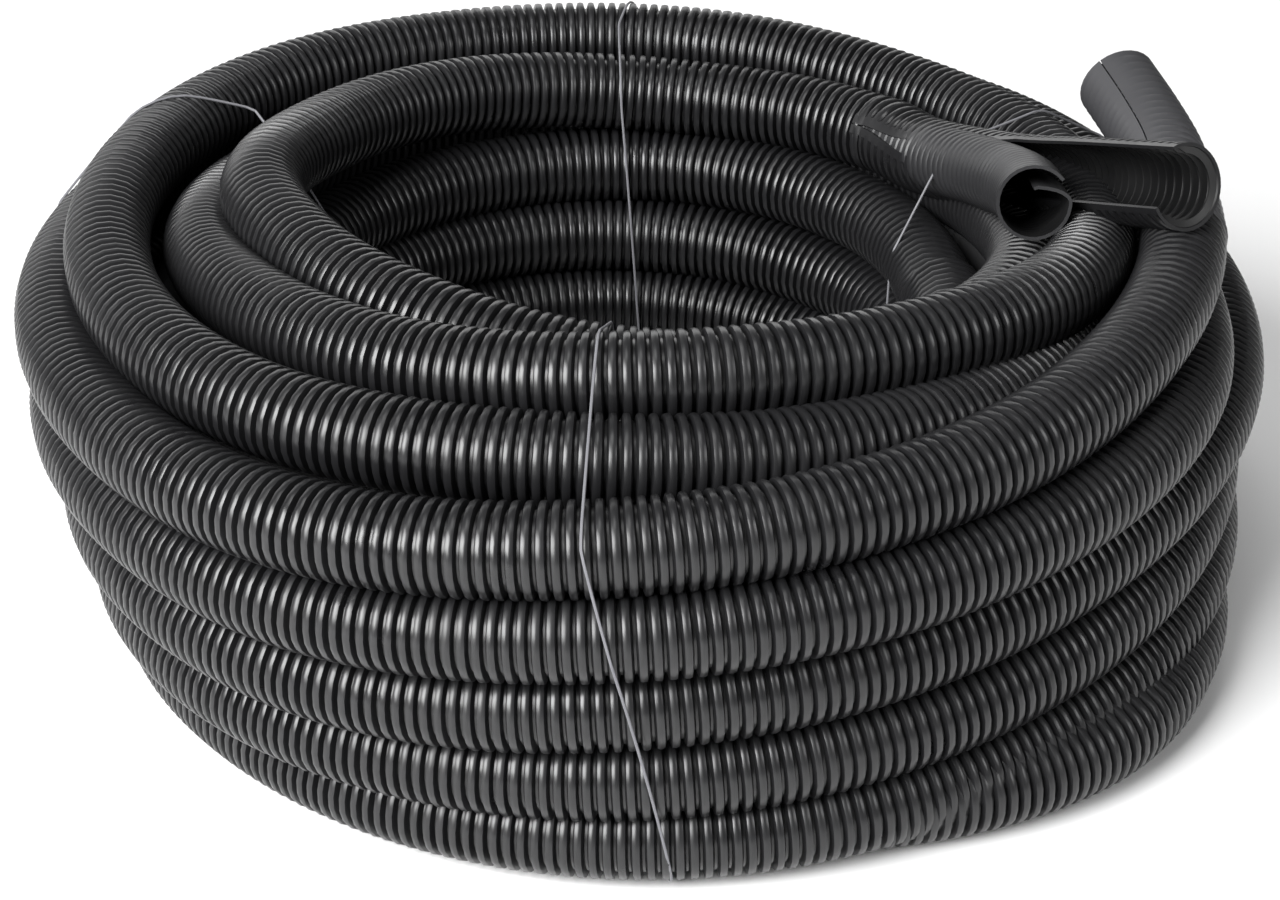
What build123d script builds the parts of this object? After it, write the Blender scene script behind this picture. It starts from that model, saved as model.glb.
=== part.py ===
# Coil of two-part corrugated conduit, tied with string in four places.
# Millimetres, +Z up, origin on the floor at the coil's axis. +X is the right of the photograph's view.
import os
from math import atan2, cos, degrees, radians, sin

from build123d import *

os.makedirs("parts", exist_ok=True)

# Driving sizes of the conduit
tube_d = 28.5  # over the ribs of the outer shell
outer_wall = 1.4  # outer shell, mean thickness
inner_wall = 1.4  # inner shell, mean thickness
shell_gap = 0.3  # between the two shells, all round

# Driving sizes of the coil; each turn's radius is that of the tube's centre line
layers = 5  # turns in the outer column
layer_pitch = 26.7  # from one layer to the next, the ribs bed into each other
outer_turn_r = 198.5  # widest turn of the outer column
widest_layer = 3  # where that turn is, counted from the floor
outer_draw = 4.5  # how much smaller the outer turns get with each layer from it
inner_turn_r = 111.5  # lowest turn of the inner column
inner_flare = 20.0  # how much wider the bore would be one layer above the inner column
bottom_turns = 4  # turns that lie on the floor, side by side
crown_outer_step = 28.0  # from the widest turn in to the one that beds between the two outermost columns
crown_inner_step = 24.7  # from there in to the turn beside it
crown_rise = 14.3  # of both crown turns, over the top layer
last_turn_step = 21.5  # from there in to the turn that ends in the two sprung shells
last_turn_rise = 9.0  # over the top layer
groove_angle = 67.5  # from the line between two turns to where the groove's flank starts
least_arc = 1.0  # degrees; a turn on the floor has no arc shorter than this beside its flat

# Driving sizes of the ends
split_angle = 35.0  # where the outer shell leaves its turn, round the coil from +X
inner_split_angle = 39.0  # where the inner shell starts to leave it
open_end_heading = -58.0  # direction of the sprung outer end, seen from above
open_end_bend_r = 114.0
open_end_rise = 16.0  # degrees
open_end_straight = 103.0
open_slit = 88.0  # degrees of the ring that the sprung slit takes
open_slit_up = 20.0  # degrees above level that the slit faces
inner_end_bend_r = 120.0
inner_end_bend = 49.0  # degrees
inner_end_tilt = 26.0  # degrees between its plane and the level
inner_slit = 36.0  # degrees
inner_slit_turn = 118.0  # degrees from its plane to where its slit faces
closed_end_start = -45.0  # where the closed end leaves its turn, round the coil from +X
closed_end_bend_r = 175.0
closed_end_bend = 64.0  # degrees
closed_end_tilt = 16.0  # degrees
closed_end_straight = 42.0
mouth_depth = 40.0
closed_slit_w = 1.2
closed_slit_turn = 60.0  # degrees

# Driving sizes of the string
tie_w = 1.2
tie_t = 0.5
tie_seat = 0.4  # clearance from the ribs
tie_lift = 0.1  # clearance from the floor
tie_angles = {"tie_front": 265.0, "tie_back": 90.0, "tie_left": 155.0, "tie_right": 41.0}

# Sizes that follow
tube_r = tube_d / 2
inner_shell_r = tube_r - outer_wall - shell_gap
inner_bore_r = inner_shell_r - inner_wall
crown_outer_r = outer_turn_r - crown_outer_step
crown_inner_r = crown_outer_r - crown_inner_step
last_turn_r = crown_inner_r - last_turn_step
press_angle = 90 - groove_angle  # half the arc by which a turn on the floor is pressed flat
floor_turn_z = tube_r * cos(radians(press_angle))
top_layer_z = floor_turn_z + (layers - 1) * layer_pitch
crown_z = top_layer_z + crown_rise
last_turn_z = top_layer_z + last_turn_rise
notch_t = tie_lift + tie_t + 2 * tie_seat


def outer_turn(layer):
    """Centre of an outer turn: the column draws in above and below its widest turn."""
    return (outer_turn_r - outer_draw * abs(widest_layer - layer), floor_turn_z + layer * layer_pitch)


def inner_turn(layer):
    """Centre of an inner turn: the bore widens towards the top."""
    rise = layer / (layers - 1)
    return (inner_turn_r + inner_flare * rise**2, floor_turn_z + layer * layer_pitch)


def floor_turns():
    """Centres of the turns on the floor between the two columns, from the inside out."""
    first, last = inner_turn(0)[0], outer_turn(0)[0]
    step = (last - first) / (bottom_turns - 1)
    return [(first + i * step, floor_turn_z) for i in range(1, bottom_turns - 1)]


outer_column = [outer_turn(layer) for layer in range(layers)]
inner_column = [inner_turn(layer) for layer in reversed(range(layers - 1))]
crown = [(crown_outer_r, crown_z), (crown_inner_r, crown_z), (last_turn_r, last_turn_z)]
# Every turn that shows in the coil's section, once round it
section_turns = outer_column + crown + inner_column + floor_turns()


def rim_point(turn, angle):
    return (turn[0] + tube_r * cos(radians(angle)), turn[1] + tube_r * sin(radians(angle)))


def direction(a, b):
    return degrees(atan2(b[1] - a[1], b[0] - a[0]))


def groove_point(turn, after):
    """Bottom of the groove between two turns, where their tangent flanks meet."""
    step = Vector(after[0] - turn[0], after[1] - turn[1])
    flank = (step.length / 2 - tube_r * cos(radians(groove_angle))) / sin(radians(groove_angle))
    out = tube_r * sin(radians(groove_angle)) - flank * cos(radians(groove_angle))
    outward = Vector(step.Y, -step.X).normalized()
    middle = Vector(turn[0], turn[1]) + step / 2
    return middle + outward * out


def turn_arc(index):
    """Start and end angle of the arc that one turn shows in the section."""
    turn = section_turns[index]
    before = section_turns[index - 1]
    after = section_turns[(index + 1) % len(section_turns)]
    start = direction(turn, before) + groove_angle
    return start, start + (direction(turn, after) - groove_angle - start) % 360


def pressed_turn(turn, start, end):
    """Draws the outline of a turn on the floor, flat where it rests."""
    flat_start, flat_end = 270 - press_angle, 270 + press_angle
    if flat_start - start > least_arc:
        CenterArc(turn, tube_r, start, flat_start - start)
    Line(rim_point(turn, flat_start), rim_point(turn, flat_end))
    if end - flat_end > least_arc:
        CenterArc(turn, tube_r, flat_end, end - flat_end)


def ring_point(radius, angle, height):
    return Vector(radius * cos(radians(angle)), radius * sin(radians(angle)), height)


def tail_plane(radius, angle, height, turns, tilt):
    """Plane of an end that leaves its turn. X runs along the turn, Y to its centre, tilted upwards.

    turns is 1 for an end that runs anticlockwise seen from above, and -1 for clockwise.
    """
    along = Vector(-sin(radians(angle)), cos(radians(angle)), 0) * turns
    inward = Vector(-cos(radians(angle)), -sin(radians(angle)), 0)
    bend = inward * cos(radians(tilt)) + Vector(0, 0, 1) * sin(radians(tilt))
    return Plane(origin=ring_point(radius, angle, height), x_dir=along, z_dir=along.cross(bend))


def open_end_plane():
    """Upright plane of the sprung outer end. X runs along the end, Y is up."""
    along = Vector(cos(radians(open_end_heading)), sin(radians(open_end_heading)), 0)
    start = ring_point(last_turn_r, split_angle, last_turn_z)
    return Plane(origin=start, x_dir=along, z_dir=along.cross(Vector(0, 0, 1)))


def section_plane(path, at, facing):
    """Plane across a path, with X along the facing direction."""
    along = path.tangent_at(at)
    level = facing - along * facing.dot(along)
    return Plane(origin=path.position_at(at), x_dir=level, z_dir=along)


# Paths of the three ends
open_plane = open_end_plane()
with BuildLine(open_plane) as open_path:
    open_arc = CenterArc((0, open_end_bend_r), open_end_bend_r, -90, open_end_rise)
    Line(open_arc @ 1, open_arc @ 1 + (open_arc % 1) * open_end_straight)

inner_plane = tail_plane(last_turn_r, inner_split_angle, last_turn_z, -1, inner_end_tilt)
with BuildLine(inner_plane) as inner_path:
    CenterArc((0, inner_end_bend_r), inner_end_bend_r, -90, inner_end_bend)

closed_r, closed_z = outer_column[-1]
closed_plane = tail_plane(closed_r, closed_end_start, closed_z, 1, closed_end_tilt)
with BuildLine(closed_plane) as closed_path:
    closed_arc = CenterArc((0, closed_end_bend_r), closed_end_bend_r, -90, closed_end_bend)
    Line(closed_arc @ 1, closed_arc @ 1 + (closed_arc % 1) * closed_end_straight)

open_wire = open_path.wire()
inner_wire = inner_path.wire()
closed_wire = closed_path.wire()
open_facing = open_plane.z_dir * cos(radians(open_slit_up)) + Vector(0, 0, 1) * sin(radians(open_slit_up))
inner_facing = (
    inner_plane.y_dir * cos(radians(inner_slit_turn)) - inner_plane.z_dir * sin(radians(inner_slit_turn))
)
closed_facing = (
    closed_plane.y_dir * cos(radians(closed_slit_turn)) + closed_plane.z_dir * sin(radians(closed_slit_turn))
)
open_section = section_plane(open_wire, 0, open_facing)
inner_section = section_plane(inner_wire, 0, inner_facing)
closed_section = section_plane(closed_wire, 0, closed_facing)
mouth_start = 1 - mouth_depth / closed_wire.length
mouth_section = section_plane(closed_wire, mouth_start, closed_facing)
mouth_end = closed_wire.position_at(1)


def slit_sector(radius, angle):
    """Corners of a wedge from the centre out past the wall, open towards +X."""
    reach = radius / cos(radians(angle / 2)) * 1.3
    half = radians(angle / 2)
    return [(0, 0), (reach * cos(half), reach * sin(half)), (reach * cos(half), -reach * sin(half))]


def loop_face(clearance, lowest):
    """Face inside a taut loop that keeps clear of every turn and of what lies under the coil."""
    with BuildSketch() as loop:
        for turn in section_turns:
            with Locations(turn):
                Circle(tube_r + clearance)
        make_hull()
        with Locations((outer_turn_r, lowest)):
            Rectangle(2 * outer_turn_r, tube_d, align=(Align.CENTER, Align.MAX), mode=Mode.SUBTRACT)
    return loop.sketch


# Coil: one turned solid with its bore, and the three ends of the outer shell
with BuildPart() as outer_shell:
    with BuildSketch(Plane.XZ):
        with BuildLine():
            for index, turn in enumerate(section_turns):
                start, end = turn_arc(index)
                if turn[1] > floor_turn_z:
                    CenterArc(turn, tube_r, start, end - start)
                else:
                    pressed_turn(turn, start, end)
                after = (index + 1) % len(section_turns)
                groove = groove_point(turn, section_turns[after])
                Line(rim_point(turn, end), groove)
                Line(groove, rim_point(section_turns[after], turn_arc(after)[0]))
        make_face()
    revolve(axis=Axis.Z)

    # Sprung outer end
    with BuildSketch(open_section):
        Circle(tube_r)
    sweep(path=open_wire)

    # Closed end
    with BuildSketch(closed_section):
        Circle(tube_r)
    sweep(path=closed_wire)

    # Channel of the sprung end, wide open along its slit
    with BuildSketch(open_section):
        Circle(tube_r - outer_wall)
        Polygon(*slit_sector(tube_r, open_slit), align=None)
    sweep(path=open_wire, mode=Mode.SUBTRACT)

    # Way of the inner shell out of the outer one
    with BuildSketch(inner_section):
        Circle(inner_shell_r + shell_gap)
    sweep(path=inner_wire, mode=Mode.SUBTRACT)

    # Mouth of the closed end, with its shut slit
    with BuildSketch(mouth_section):
        Circle(inner_shell_r + shell_gap)
        with Locations((tube_r, 0)):
            Rectangle(tube_d, closed_slit_w)
    extrude(amount=mouth_depth, mode=Mode.SUBTRACT)

    # Valleys between the ribs, where the string passes under the coil
    for angle in tie_angles.values():
        across = Plane(origin=(0, 0, 0), x_dir=(cos(radians(angle)), sin(radians(angle)), 0), z_dir=(0, 0, 1))
        with BuildSketch(across):
            with Locations((outer_turn_r / 2 + tube_d, 0)):
                Rectangle(outer_turn_r, tie_w + 2 * tie_seat)
        extrude(amount=notch_t, mode=Mode.SUBTRACT)
outer_shell.part.label = "outer_shell"

# Inner shell: its free end, and what shows of it in the closed mouth
with BuildPart() as inner_shell:
    with BuildSketch(inner_section):
        Circle(inner_shell_r)
        Circle(inner_bore_r, mode=Mode.SUBTRACT)
        Polygon(*slit_sector(tube_r, inner_slit), align=None, mode=Mode.SUBTRACT)
    sweep(path=inner_wire)
    with BuildSketch(mouth_section):
        Circle(inner_shell_r)
        Circle(inner_bore_r, mode=Mode.SUBTRACT)
    extrude(amount=mouth_depth)
inner_shell.part.label = "inner_shell"

export_step(outer_shell.part, "parts/outer_shell.step")
export_step(inner_shell.part, "parts/inner_shell.step")

# String: a taut loop round the coil's section, from crest to crest, clear of the floor
for name, angle in tie_angles.items():
    outward = (cos(radians(angle)), sin(radians(angle)), 0)
    tie_plane = Plane(origin=(0, 0, 0), x_dir=outward, z_dir=(outward[1], -outward[0], 0))
    with BuildPart() as tie:
        with BuildSketch(tie_plane):
            add(loop_face(tie_seat + tie_t, tie_lift))
            add(loop_face(tie_seat, tie_lift + tie_t), mode=Mode.SUBTRACT)
        extrude(amount=tie_w / 2, both=True)
    tie.part.label = name
    export_step(tie.part, f"parts/{name}.step")

print("mouth centre", mouth_end, "axis", closed_wire.tangent_at(1))
print("inner end centre", inner_wire.position_at(1), "axis", inner_wire.tangent_at(1))
print("open end centre", open_wire.position_at(1), "axis", open_wire.tangent_at(1))
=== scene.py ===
"""Coil of black two-part corrugated conduit, tied with string in four places."""
import math

import bpy
from mathutils import Matrix, Vector


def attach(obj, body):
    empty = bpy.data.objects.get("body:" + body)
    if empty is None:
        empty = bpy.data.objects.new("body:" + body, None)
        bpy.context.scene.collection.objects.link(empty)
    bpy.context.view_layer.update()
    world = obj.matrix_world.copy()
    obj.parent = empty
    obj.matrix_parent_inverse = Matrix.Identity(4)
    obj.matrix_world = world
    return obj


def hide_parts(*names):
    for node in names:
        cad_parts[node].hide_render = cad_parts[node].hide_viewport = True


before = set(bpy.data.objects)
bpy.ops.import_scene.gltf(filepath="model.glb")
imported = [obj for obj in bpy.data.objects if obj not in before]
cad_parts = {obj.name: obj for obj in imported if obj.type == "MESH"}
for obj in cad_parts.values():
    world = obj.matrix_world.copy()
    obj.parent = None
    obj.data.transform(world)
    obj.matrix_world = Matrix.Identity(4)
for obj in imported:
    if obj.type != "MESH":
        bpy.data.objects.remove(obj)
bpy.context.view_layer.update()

# Sizes in metres
tube_d = 0.0285
tube_r = tube_d / 2
rib_pitch = 0.0040
rib_depth = 0.17  # share of the tube's radius
rib_edge = 4.6  # how square the ribs are
sharp_angle = math.radians(32)
rib_steps = 6  # points along one rib, the first two in its valley
tube_sides = 20
winding_centre = (-0.0039, 0.0015, 0.0005)

# Windings, in tube diameters: angle round the coil in degrees, clockwise from the right,
# distance from the windings' centre, and height over the floor
outer_winding = (
    (0, 6.40, 4.70), (30, 6.35, 4.50), (60, 6.55, 4.30), (90, 6.80, 4.15), (120, 7.00, 4.05),
    (150, 6.85, 4.05), (180, 6.80, 4.10), (225, 6.85, 4.05), (270, 6.80, 4.00), (315, 6.60, 3.95),
    (345, 6.40, 3.85), (360, 6.40, 3.75), (385, 6.65, 3.60), (420, 6.80, 3.40), (450, 6.95, 3.25),
    (480, 7.05, 3.15), (510, 6.85, 3.15), (540, 6.70, 3.15), (585, 6.70, 3.20), (630, 6.90, 3.20),
    (675, 7.20, 3.15), (700, 7.25, 3.10), (720, 7.05, 2.95), (745, 6.75, 2.75), (770, 6.60, 2.55),
    (800, 6.70, 2.35), (835, 6.85, 2.20), (865, 6.70, 2.20), (900, 6.35, 2.20), (930, 6.30, 2.25),
    (975, 6.50, 2.25), (1030, 6.80, 2.20), (1065, 6.80, 2.15), (1085, 6.75, 2.00),
    (1110, 6.70, 1.80), (1140, 6.65, 1.55), (1170, 6.65, 1.35), (1200, 6.60, 1.30),
    (1230, 6.40, 1.25), (1260, 6.10, 1.30), (1290, 6.10, 1.30), (1335, 6.40, 1.30),
    (1380, 6.70, 1.30), (1425, 6.80, 1.25), (1450, 6.80, 1.10), (1480, 6.75, 0.85),
    (1510, 6.65, 0.60), (1535, 6.55, 0.53), (1580, 6.15, 0.50), (1620, 6.00, 0.50),
    (1680, 6.10, 0.50), (1760, 6.25, 0.50), (1800, 6.45, 0.50), (1825, 6.90, 0.50),
    (1845, 7.05, 0.50), (1870, 6.50, 0.50), (1905, 5.55, 0.50), (1940, 5.20, 0.50),
    (1980, 5.00, 0.50), (2040, 5.10, 0.50), (2120, 5.20, 0.50), (2160, 5.40, 0.50),
    (2205, 5.50, 0.50), (2240, 5.20, 0.55), (2270, 4.80, 0.80),
)
crown_winding = (
    (15, 5.20, 3.85), (45, 5.45, 4.15), (75, 5.65, 4.40), (100, 5.80, 4.55), (130, 6.05, 4.60),
    (160, 6.15, 4.70), (190, 6.20, 4.85), (220, 6.20, 4.85), (250, 6.05, 4.75), (280, 5.85, 4.65),
    (310, 5.60, 4.50), (340, 5.50, 4.45), (360, 5.40, 4.45), (385, 5.25, 4.70), (415, 4.95, 4.90),
    (445, 4.85, 5.00), (480, 4.90, 4.90), (510, 4.90, 4.75), (540, 5.10, 4.50), (570, 5.25, 4.20),
    (620, 5.30, 3.85), (660, 5.00, 3.80), (700, 4.75, 3.95), (730, 4.60, 4.15), (760, 4.25, 4.25),
    (790, 3.90, 4.40), (820, 3.80, 4.60), (850, 3.85, 4.85), (880, 4.10, 5.00), (905, 4.45, 5.00),
    (930, 4.50, 4.85), (960, 4.65, 4.65), (1000, 4.65, 4.35), (1020, 4.65, 4.30),
    (1040, 4.60, 4.30), (1070, 4.45, 4.40),
)
inner_winding = (
    (-360, 3.65, 3.60), (-315, 4.10, 3.60), (-270, 4.40, 3.60), (-180, 4.40, 3.60),
    (-90, 4.50, 3.45), (-45, 4.10, 3.40), (0, 3.65, 3.30), (45, 3.75, 3.20), (90, 4.00, 3.10),
    (135, 4.20, 3.00), (180, 4.35, 2.90), (225, 4.30, 2.70), (270, 4.20, 2.55), (315, 3.95, 2.40),
    (360, 3.65, 2.30), (450, 3.90, 2.10), (540, 4.20, 1.90), (630, 4.00, 1.65), (720, 3.65, 1.35),
    (810, 3.90, 1.15), (900, 4.15, 0.95), (990, 3.90, 0.70), (1080, 3.70, 0.50), (1170, 3.90, 0.50),
    (1260, 4.15, 0.50),
)
# Loose ends, in tube diameters: to the right, to the back and up from the windings' centre
closed_end_points = (
    (6.34, -0.90, 4.63), (6.40, 0.05, 4.70), (6.42, 1.00, 4.84), (6.28, 1.85, 5.02), (6.07, 2.60, 5.23),
)
open_end_points = ((3.80, 2.50, 4.30), (4.70, 1.10, 4.65), (5.40, -0.35, 5.18), (6.16, -1.60, 5.62))
inner_end_points = ((3.78, 2.40, 4.36), (4.29, 1.10, 4.68), (4.55, -0.05, 4.98), (4.54, -1.10, 5.24))
sprung_from = 1030  # angle where the shells of the last turn start to come apart

# Camera, found from the shape of the turns in the photograph
camera_aim_height = 0.0439
camera_distance = 0.9927
camera_elevation = math.radians(28.56)
camera_roll = math.radians(-0.98)
camera_lens = 79.2


def smooth_rows(rows, step):
    """Rows of a winding at every step degrees, eased between the given ones."""
    ends = [[2 * a - b for a, b in zip(rows[0], rows[1])], [2 * a - b for a, b in zip(rows[-1], rows[-2])]]
    rows = [ends[0], *rows, ends[1]]
    found = []
    for i in range(1, len(rows) - 2):
        before, start, end, after = rows[i - 1:i + 3]
        span = end[0] - start[0]
        count = max(1, round(span / step))
        for k in range(count):
            t = k / count
            row = [start[0] + t * span]
            for j in range(1, len(start)):
                m0 = (end[j] - before[j]) / (end[0] - before[0]) * span
                m1 = (after[j] - start[j]) / (after[0] - start[0]) * span
                row.append((2 * t**3 - 3 * t**2 + 1) * start[j] + (t**3 - 2 * t**2 + t) * m0
                           + (3 * t**2 - 2 * t**3) * end[j] + (t**3 - t**2) * m1)
            found.append(row)
    found.append(list(rows[-2]))
    return found


def in_place(point):
    return Vector(point) * tube_d + Vector(winding_centre)


def winding_point(row):
    angle = math.radians(row[0])
    return in_place((row[1] * math.cos(angle), -row[1] * math.sin(angle), row[2]))


def winding_line(rows, first=-1e9, last=1e9):
    return [winding_point(row) for row in smooth_rows(rows, 1) if first <= row[0] <= last]


def line_length(points):
    return sum((b - a).length for a, b in zip(points, points[1:]))


def new_curve(name, points):
    curve = bpy.data.curves.new(name, "CURVE")
    curve.dimensions = "3D"
    spline = curve.splines.new("POLY")
    spline.points.add(len(points) - 1)
    for target, point in zip(spline.points, points):
        target.co = (*point, 1)
    found = bpy.data.objects.new(name, curve)
    bpy.context.scene.collection.objects.link(found)
    return found


def plastic_material(name, colour, rough):
    """Moulded plastic of an even colour, whose gloss varies a little from place to place."""
    material = bpy.data.materials.new(name)
    material.use_nodes = True
    nodes, links = material.node_tree.nodes, material.node_tree.links
    shader = nodes["Principled BSDF"]
    shader.inputs["Base Color"].default_value = (colour, colour, colour * 1.08, 1)
    shader.inputs["Roughness"].default_value = rough
    place = nodes.new("ShaderNodeTexCoord")
    dust = nodes.new("ShaderNodeTexNoise")
    dust.inputs["Scale"].default_value = 60
    dust.inputs["Detail"].default_value = 5
    links.new(place.outputs["Object"], dust.inputs["Vector"])
    rough_range = nodes.new("ShaderNodeMapRange")
    rough_range.inputs["From Min"].default_value = 0.3
    rough_range.inputs["From Max"].default_value = 0.7
    rough_range.inputs["To Min"].default_value = rough - 0.06
    rough_range.inputs["To Max"].default_value = rough + 0.08
    links.new(dust.outputs["Fac"], rough_range.inputs["Value"])
    links.new(rough_range.outputs["Result"], shader.inputs["Roughness"])
    return material


def ribbed_tube_tree():
    """Geometry Nodes tree that turns a line into a corrugated tube."""
    tree = bpy.data.node_groups.new("ribbed_tube", "GeometryNodeTree")
    face = tree.interface
    face.new_socket("Geometry", in_out="INPUT", socket_type="NodeSocketGeometry")
    for label, kind, value in (
        ("Points", "NodeSocketInt", 100),
        ("Rib Steps", "NodeSocketInt", rib_steps),
        ("Tube Radius", "NodeSocketFloat", tube_r),
        ("Rib Depth", "NodeSocketFloat", rib_depth),
        ("Sides", "NodeSocketInt", tube_sides),
    ):
        face.new_socket(label, in_out="INPUT", socket_type=kind).default_value = value
    face.new_socket("Material", in_out="INPUT", socket_type="NodeSocketMaterial")
    face.new_socket("Geometry", in_out="OUTPUT", socket_type="NodeSocketGeometry")
    nodes, links = tree.nodes, tree.links
    given = nodes.new("NodeGroupInput")
    made = nodes.new("NodeGroupOutput")

    def math_node(operation, a, b=None):
        node = nodes.new("ShaderNodeMath")
        node.operation = operation
        for socket, value in zip(node.inputs, (a, b)):
            if value is None:
                continue
            if isinstance(value, (int, float)):
                socket.default_value = value
            else:
                links.new(value, socket)
        return node.outputs[0]

    spread = nodes.new("GeometryNodeResampleCurve")
    spread.mode = "COUNT"
    links.new(given.outputs["Geometry"], spread.inputs["Curve"])
    links.new(given.outputs["Points"], spread.inputs["Count"])
    index = nodes.new("GeometryNodeInputIndex").outputs[0]
    crest = math_node("DIVIDE", math_node("ADD", given.outputs["Rib Steps"], 1), 2)
    reach = math_node("SUBTRACT", crest, 1)
    step = math_node("MODULO", index, given.outputs["Rib Steps"])
    away = math_node("ABSOLUTE", math_node("SUBTRACT", step, crest))
    off = math_node("MINIMUM", math_node("DIVIDE", away, reach), 1)
    drop = math_node("MULTIPLY", given.outputs["Rib Depth"], math_node("POWER", off, rib_edge))
    scale = math_node("SUBTRACT", 1, drop)
    radius = nodes.new("GeometryNodeSetCurveRadius")
    links.new(spread.outputs["Curve"], radius.inputs["Curve"])
    links.new(scale, radius.inputs["Radius"])
    section = nodes.new("GeometryNodeCurvePrimitiveCircle")
    links.new(given.outputs["Sides"], section.inputs["Resolution"])
    links.new(given.outputs["Tube Radius"], section.inputs["Radius"])
    tube = nodes.new("GeometryNodeCurveToMesh")
    links.new(radius.outputs["Curve"], tube.inputs["Curve"])
    links.new(section.outputs["Curve"], tube.inputs["Profile Curve"])
    if "Scale" in tube.inputs:
        links.new(scale, tube.inputs["Scale"])
    tube.inputs["Fill Caps"].default_value = True
    smooth = nodes.new("GeometryNodeSetShadeSmooth")
    links.new(tube.outputs["Mesh"], smooth.inputs["Geometry"])
    bend = nodes.new("GeometryNodeInputMeshEdgeAngle")
    rounded = nodes.new("FunctionNodeCompare")
    rounded.operation = "LESS_THAN"
    links.new(bend.outputs["Unsigned Angle"], rounded.inputs["A"])
    rounded.inputs["B"].default_value = sharp_angle
    edges = nodes.new("GeometryNodeSetShadeSmooth")
    edges.domain = "EDGE"
    links.new(smooth.outputs["Geometry"], edges.inputs["Geometry"])
    links.new(rounded.outputs["Result"], edges.inputs["Shade Smooth"])
    real = nodes.new("GeometryNodeRealizeInstances")
    links.new(edges.outputs["Geometry"], real.inputs["Geometry"])
    finish = nodes.new("GeometryNodeSetMaterial")
    links.new(real.outputs["Geometry"], finish.inputs["Geometry"])
    links.new(given.outputs["Material"], finish.inputs["Material"])
    links.new(finish.outputs["Geometry"], made.inputs["Geometry"])
    return tree


def as_plain_mesh(source, name):
    """The evaluated object as a plain mesh, in an object of its own."""
    bpy.context.view_layer.update()
    graph = bpy.context.evaluated_depsgraph_get()
    mesh = bpy.data.meshes.new_from_object(source.evaluated_get(graph))
    mesh.name = name
    bpy.data.objects.remove(source)
    found = bpy.data.objects.new(name, mesh)
    bpy.context.scene.collection.objects.link(found)
    return found


def ribbed_tube(name, points, material, sides=tube_sides, radius=tube_r, depth=rib_depth):
    source = new_curve(name + "_line", points)
    modifier = source.modifiers.new("ribbed_tube", "NODES")
    modifier.node_group = tube_tree
    ribs = round(line_length(points) / rib_pitch)
    values = {"Points": ribs * rib_steps, "Rib Steps": rib_steps, "Tube Radius": radius, "Rib Depth": depth,
              "Sides": sides, "Material": material}
    for item in tube_tree.interface.items_tree:
        if item.in_out == "INPUT" and item.name in values:
            modifier[item.identifier] = values[item.name]
    return as_plain_mesh(source, name)


def own(piece, node):
    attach(piece, "root")
    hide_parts(node)
    return piece


tube_tree = ribbed_tube_tree()
black_plastic = plastic_material("conduit_plastic_black", 0.010, 0.33)
# Lighter, duller copy of the black plastic for the closed end: painted sheen, standing in for light reflected
# off this end of the tube
closed_end_sheen_plastic = plastic_material("closed_end_painted_sheen", 0.038, 0.5)
# Lighter copy of the black plastic for the inner shell's loose end: painted sheen on that end; the inner
# shell's liner stays in the black plastic
inner_end_sheen_plastic = plastic_material("inner_end_painted_sheen", 0.018, 0.42)
# Near-black copy of the plastic for the shells' inner walls: painted shade inside the tube
bore_shade_plastic = plastic_material("bore_painted_shade", 0.003, 0.5)


def eased_line(points, step):
    """Smooth line through the points, with points a step apart."""
    rows = smooth_rows([(i, *p) for i, p in enumerate(points)], 0.02)
    dense = [Vector(row[1:]) for row in rows]
    total = line_length(dense)
    count = max(2, round(total / step))
    found, walked, target, i = [dense[0]], 0.0, total / count, 0
    while len(found) < count and i < len(dense) - 1:
        gap = (dense[i + 1] - dense[i]).length
        while walked + gap >= target and len(found) < count:
            found.append(dense[i].lerp(dense[i + 1], (target - walked) / gap))
            target += total / count
        walked += gap
        i += 1
    return [*found, dense[-1]]


def frames_along(line, last_side):
    """Side and up directions across a line, carried back from its last point without a twist."""
    ahead = [(b - a).normalized() for a, b in zip(line, line[1:])]
    ahead.append(ahead[-1])
    side = (last_side - ahead[-1] * last_side.dot(ahead[-1])).normalized()
    found = []
    for direction in reversed(ahead):
        side = (side - direction * side.dot(direction)).normalized()
        found.append((side, direction.cross(side)))
    return list(reversed(found))


def rib_scale(index, depth):
    crest = (rib_steps + 1) / 2
    return 1 - depth * min(1, abs(index % rib_steps - crest) / (crest - 1)) ** rib_edge


def swept_shell(name, line, frames, section, depth, material):
    """Sweeps a closed section along a line.

    section(share, scale) gives the section's corners in metres, the inner wall last.
    depth is the ribs' depth at the line's start and at its end.
    """
    mesh = bpy.data.meshes.new(name)
    points, faces = [], []
    count = len(section(0, 1))
    for i, (place, (side, up)) in enumerate(zip(line, frames)):
        share = i / (len(line) - 1)
        for x, y in section(share, rib_scale(i, depth[0] + (depth[1] - depth[0]) * share)):
            points.append(place + side * x + up * y)
    for i in range(len(line) - 1):
        for k in range(count):
            a, b = i * count + k, i * count + (k + 1) % count
            faces.append((a, b, b + count, a + count))
    faces.append(tuple(reversed(range(count))))
    faces.append(tuple(range((len(line) - 1) * count, len(line) * count)))
    mesh.from_pydata([tuple(p) for p in points], [], faces)
    mesh.polygons.foreach_set("use_smooth", [True] * len(faces))
    mesh.set_sharp_from_angle(angle=sharp_angle)
    mesh.materials.append(material)
    # The inner wall's faces take the near-black copy: painted shade inside the shell
    mesh.materials.append(bore_shade_plastic)
    for face in mesh.polygons[:(len(line) - 1) * count]:
        if count / 2 <= face.index % count < count - 1:
            face.material_index = 1
    found = bpy.data.objects.new(name, mesh)
    bpy.context.scene.collection.objects.link(found)
    return found


def open_wall(outline, wall):
    """Closed corners of a thin wall whose outer side is the outline, from its first point to its last."""
    inner = []
    for i, point in enumerate(outline):
        before, after = Vector(outline[max(i - 1, 0)]), Vector(outline[min(i + 1, len(outline) - 1)])
        along = (after - before).normalized()
        inner.append((point[0] - along.y * wall, point[1] + along.x * wall))
    return [*outline, *reversed(inner)]


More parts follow.
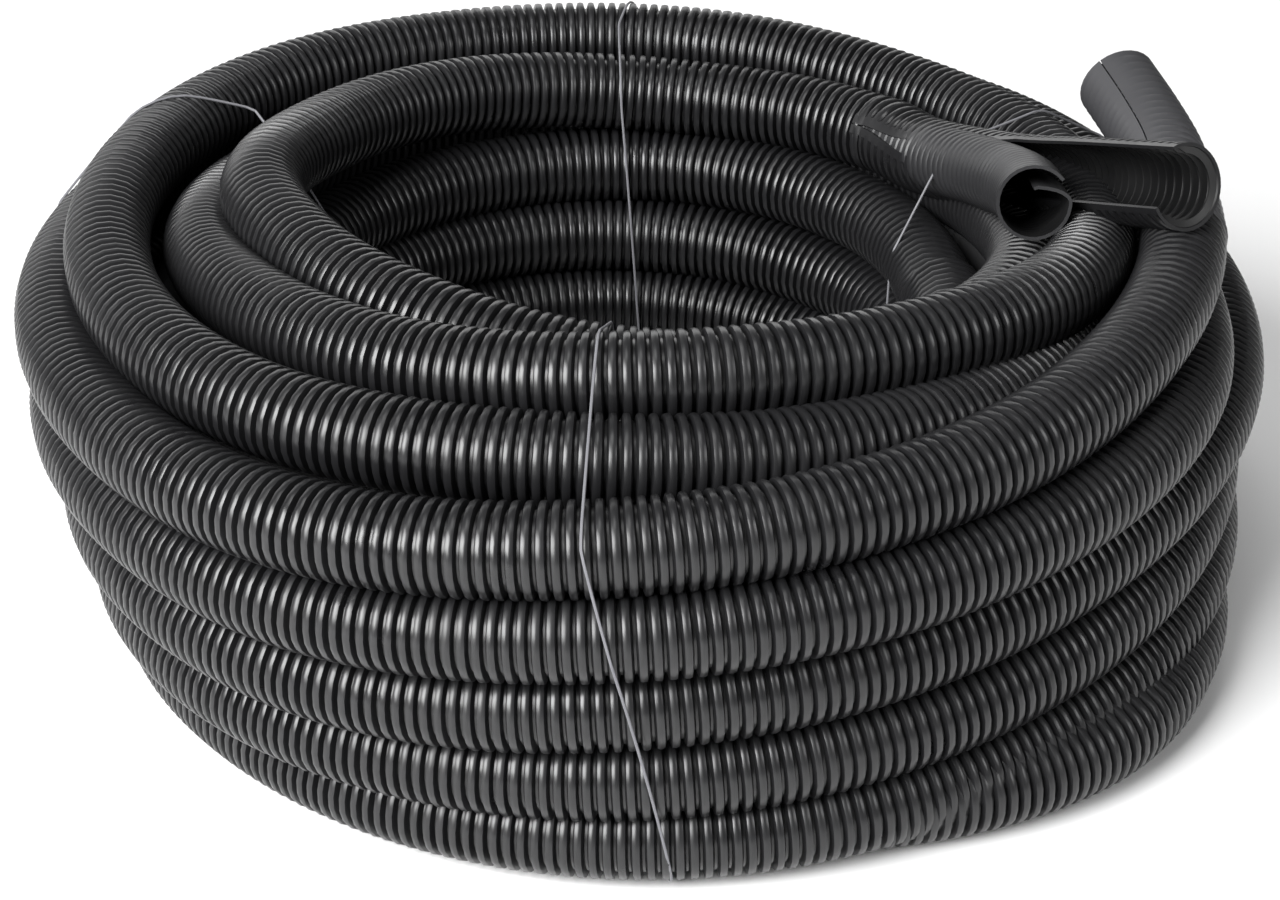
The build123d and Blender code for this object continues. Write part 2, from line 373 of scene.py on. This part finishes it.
def slit_circle(radius, scale, first, last, count):
    """Arc of a shell from one edge of its slit to the other; the ribs fade out into a plain edge."""
    found = []
    for i in range(count + 1):
        angle = math.radians(first + (last - first) * i / count)
        ribbed = min(1, max(0, (min(i, count - i) - 1) / 2))
        reach = radius * (1 + (scale - 1) * ribbed)
        found.append((reach * math.cos(angle), reach * math.sin(angle)))
    return found


shell_wall = 0.0011
inner_shell_r = 0.0124
# Depth of the ribs at the start and the end of each loose end, as a share of the tube's radius
inner_end_ribs = (0.05, 0.02)
closed_end_ribs = (0.06, 0.015)
liner_ribs = (0.08, 0.03)


def open_end_section(share, scale):
    """The sprung outer shell: its slit opens along the end, towards the side direction."""
    slit = 2 + 90 * min(1, share / 0.5) ** 1.5
    return open_wall(slit_circle(tube_r, scale, slit / 2, 360 - slit / 2, 28), shell_wall)


def inner_end_section(share, scale):
    """The inner shell: the lip below the slit is curled into the bore."""
    lip = [(1.0, 0.04), (0.93, 0.17), (0.78, 0.28), (0.6, 0.36), (0.35, 0.42), (0.1, 0.45), (-0.02, 0.42)]
    curled = [(x * inner_shell_r, y * inner_shell_r) for x, y in lip]
    return open_wall(slit_circle(inner_shell_r, scale, 38, 354, 24) + curled, shell_wall)


def closed_end_section(share, scale):
    return open_wall(slit_circle(tube_r, scale, 1, 359, 30), shell_wall)


def closed_inner_section(share, scale):
    """The inner shell's own slit lies on the far side from the outer one's."""
    return open_wall(slit_circle(inner_shell_r, scale, 182, 538, 26), shell_wall)


own(ribbed_tube("outer_turns_upper", winding_line(outer_winding, 0, 722), black_plastic), "outer_shell")
own(ribbed_tube("outer_turns_middle", winding_line(outer_winding, 720, 1302), black_plastic), "outer_shell")
own(ribbed_tube("outer_turns_lower", winding_line(outer_winding, 1300, 1885), black_plastic), "outer_shell")
own(ribbed_tube("floor_turns", winding_line(outer_winding, 1883, 2270), black_plastic, 14), "outer_shell")
crown_line = winding_line(crown_winding, 15, sprung_from + 3)
own(ribbed_tube("crown_turns", crown_line, black_plastic), "outer_shell")
own(ribbed_tube("bore_turns", winding_line(inner_winding), black_plastic, 16), "outer_shell")

rib_step = rib_pitch / rib_steps
last_rows = [
    winding_point(row) for row in smooth_rows(crown_winding, 4)
    if sprung_from - 1 <= row[0] <= sprung_from + 6
]
open_line = eased_line(last_rows + [in_place(point) for point in open_end_points], rib_step)
open_frames = frames_along(open_line, Vector((-0.83, -0.33, 0.48)))
open_end = swept_shell(
    "open_end", open_line, open_frames, open_end_section, (rib_depth, rib_depth), black_plastic)
own(open_end, "outer_shell")

inner_line = eased_line(last_rows + [in_place(point) for point in inner_end_points], rib_step)
inner_frames = frames_along(inner_line, Vector((1, 0, 0)))
# The inner shell's loose end is drawn in the lighter copy of the plastic: painted sheen
inner_end = swept_shell(
    "inner_end", inner_line, inner_frames, inner_end_section, inner_end_ribs, inner_end_sheen_plastic)
own(inner_end, "inner_shell")

closed_line = eased_line([in_place(point) for point in closed_end_points], rib_step)
closed_frames = frames_along(closed_line, Vector((-0.5, -0.5, 0.7)))
# The closed end is drawn in the lighter copy of the plastic: painted sheen
closed_end = swept_shell(
    "closed_end", closed_line, closed_frames, closed_end_section, closed_end_ribs, closed_end_sheen_plastic)
own(closed_end, "outer_shell")
liner = swept_shell(
    "closed_end_liner", closed_line, closed_frames, closed_inner_section, liner_ribs, black_plastic)
own(liner, "inner_shell")


def hidden_core():
    """Plain dark ring behind the turns that show."""
    profile = ((4.45, 0.35), (6.0, 0.35), (6.05, 1.0), (6.05, 3.6), (5.7, 3.8), (4.7, 3.75), (4.45, 3.3))
    steps = 72
    points, faces = [], []
    for i in range(steps):
        angle = 2 * math.pi * i / steps
        points += [in_place((r * math.cos(angle), r * math.sin(angle), z)) for r, z in profile]
    count = len(profile)
    for i in range(steps):
        for k in range(count):
            a, b = i * count + k, i * count + (k + 1) % count
            c, d = (i + 1) % steps * count + (k + 1) % count, (i + 1) % steps * count + k
            faces.append((a, d, c, b))
    mesh = bpy.data.meshes.new("hidden_turns")
    mesh.from_pydata([tuple(p) for p in points], [], faces)
    mesh.materials.append(plastic_material("conduit_plastic_hidden", 0.012, 0.6))
    found = bpy.data.objects.new("hidden_turns", mesh)
    bpy.context.scene.collection.objects.link(found)
    return found


own(hidden_core(), "outer_shell")

# String: a taut loop round the section of the turns, whose angle leans as it goes round
string_r = 0.00045
# Angle round the coil at the outside below, outside above, over the top, bore above, bore below
tie_places = {
    "tie_front": (86.6, 94.6, 94.8, 94.6, 94.6),
    "tie_back": (272, 273.3, 268, 267.5, 271.5),
    "tie_left": (205, 191, 209, 200, 198),
    "tie_right": (328, 331, 335, 338, 344),
}
tie_shoulder = 4.4  # height where the string turns in over the top, in tube diameters


def turns_at(angle):
    """Centres of all turns that cross one angle round the coil: distance and height in tube diameters."""
    found = []
    for rows in (outer_winding, crown_winding, inner_winding):
        dense = smooth_rows(rows, 3)
        for start, end in zip(dense, dense[1:]):
            steps = math.ceil((start[0] - angle) / 360)
            target = angle + 360 * steps
            if start[0] <= target < end[0]:
                share = (target - start[0]) / (end[0] - start[0])
                found.append((start[1] + (end[1] - start[1]) * share, start[2] + (end[2] - start[2]) * share))
    return found


def hull(points):
    """Convex outline of flat points, anticlockwise."""
    points = sorted(points)

    def chain(ordered):
        kept = []
        for x, y in ordered:
            while len(kept) > 1 and ((kept[-1][0] - kept[-2][0]) * (y - kept[-2][1])
                                     - (kept[-1][1] - kept[-2][1]) * (x - kept[-2][0])) <= 0:
                kept.pop()
            kept.append((x, y))
        return kept[:-1]

    return chain(points) + chain(points[::-1])


def tie_line(places, skip_last_turn):
    outside_low, outside_high, over_top, bore_high, bore_low = places
    middle = (outside_high + bore_high) / 2
    turns = turns_at(middle)
    if skip_last_turn:
        turns = [turn for turn in turns if not (turn[0] < 4.8 and turn[1] > 4.4)]
    reach = 0.5 + string_r / tube_d
    around = [(r + reach * math.cos(math.radians(a)), z + reach * math.sin(math.radians(a)))
              for r, z in turns for a in range(0, 360, 15)]
    outline = hull([(r, max(z, string_r / tube_d)) for r, z in around])
    low = min(z for _, z in outline)
    inside, outside = min(r for r, _ in outline), max(r for r, _ in outline)
    points = []
    for (r0, z0), (r1, z1) in zip(outline, outline[1:] + outline[:1]):
        steps = max(1, round(math.hypot(r1 - r0, z1 - z0) / 0.12))
        for k in range(steps):
            r, z = r0 + (r1 - r0) * k / steps, z0 + (z1 - z0) * k / steps
            across, up = (r - inside) / (outside - inside), min(1, (z - low) / (tie_shoulder - low))
            at_bore = bore_low + (bore_high - bore_low) * up
            at_outside = outside_low + (outside_high - outside_low) * up
            at_middle = (at_bore + at_outside) / 2 + (over_top - (bore_high + outside_high) / 2) * up
            if across < 0.5:
                angle = at_bore + (at_middle - at_bore) * across / 0.5
            else:
                angle = at_middle + (at_outside - at_middle) * (across - 0.5) / 0.5
            points.append(winding_point((angle, r, z)))
    return [*points, points[0]]


string_material = plastic_material("string_light_grey", 0.15, 0.6)
for tie_name, places in tie_places.items():
    loop = tie_line(places, tie_name == "tie_left")
    own(ribbed_tube(tie_name + "_string", loop, string_material, 6, string_r, 0), tie_name)

# Floor and light
floor_reach = 6  # from the middle to each side
floor_shade = 0.9
sky_on_object = 0.11  # strength of the world for all but the background, which is 1


def pale_floor():
    mesh = bpy.data.meshes.new("floor")
    corners = [(x * floor_reach, y * floor_reach, 0) for x, y in ((-1, -1), (1, -1), (1, 1), (-1, 1))]
    mesh.from_pydata(corners, [], [(0, 1, 2, 3)])
    found = bpy.data.objects.new("floor", mesh)
    bpy.context.scene.collection.objects.link(found)
    material = bpy.data.materials.new("floor_white")
    material.use_nodes = True
    nodes, links = material.node_tree.nodes, material.node_tree.links
    shader = nodes["Principled BSDF"]
    shader.inputs["Base Color"].default_value = (floor_shade, floor_shade, floor_shade, 1)
    shader.inputs["Roughness"].default_value = 0.8
    found.data.materials.append(material)


def white_world():
    """White background, with a plain low light on the object."""
    world = bpy.data.worlds.new("studio")
    bpy.context.scene.world = world
    world.use_nodes = True
    nodes, links = world.node_tree.nodes, world.node_tree.links
    sky = nodes["Background"]
    sky.inputs["Color"].default_value = (1, 1, 1, 1)
    path = nodes.new("ShaderNodeLightPath")
    seen = nodes.new("ShaderNodeMath")
    seen.operation = "MAXIMUM"
    links.new(path.outputs["Is Camera Ray"], seen.inputs[0])
    links.new(path.outputs["Is Transmission Ray"], seen.inputs[1])
    level = nodes.new("ShaderNodeMapRange")
    level.inputs["To Min"].default_value = sky_on_object
    level.inputs["To Max"].default_value = 1.0
    links.new(seen.outputs[0], level.inputs["Value"])
    links.new(level.outputs["Result"], sky.inputs["Strength"])


def area_light(name, place, target, size, power):
    light = bpy.data.lights.new(name, "AREA")
    light.shape = "RECTANGLE"
    light.size, light.size_y = size
    light.energy = power
    found = bpy.data.objects.new(name, light)
    found.location = place
    found.rotation_mode = "QUATERNION"
    found.rotation_quaternion = (Vector(target) - Vector(place)).to_track_quat("-Z", "Y")
    bpy.context.scene.collection.objects.link(found)


def photo_camera():
    right, up = Vector((1, 0, 0)), Vector((0, math.sin(camera_elevation), math.cos(camera_elevation)))
    ahead = Vector((0, math.cos(camera_elevation), -math.sin(camera_elevation)))
    turned_right = right * math.cos(camera_roll) + up * math.sin(camera_roll)
    turned_up = up * math.cos(camera_roll) - right * math.sin(camera_roll)
    camera = bpy.data.cameras.new("photo_camera")
    camera.lens = camera_lens
    camera.sensor_width = 36
    camera.clip_start, camera.clip_end = 0.05, 50
    found = bpy.data.objects.new("photo_camera", camera)
    bpy.context.scene.collection.objects.link(found)
    place = Vector((winding_centre[0], winding_centre[1], camera_aim_height)) - ahead * camera_distance
    axes = Matrix((turned_right, turned_up, -ahead)).transposed()
    found.matrix_world = Matrix.Translation(place) @ axes.to_4x4()
    bpy.context.scene.camera = found


pale_floor()
white_world()
area_light("left_softbox", (-1.25, -1.33, 1.3), (0, 0, 0.08), (1.5, 1.3), 120)
area_light("right_softbox", (1.5, -1.0, 1.2), (0, 0, 0.08), (0.8, 0.8), 12)
area_light("top_softbox", (-0.2, -0.3, 2.2), (0, 0, 0.05), (0.9, 0.9), 10)
area_light("back_panel", (-0.9, 2.3, 1.1), (0, 0, 0.1), (4.0, 1.5), 32)
photo_camera()
bpy.context.scene.view_settings.view_transform = "Standard"
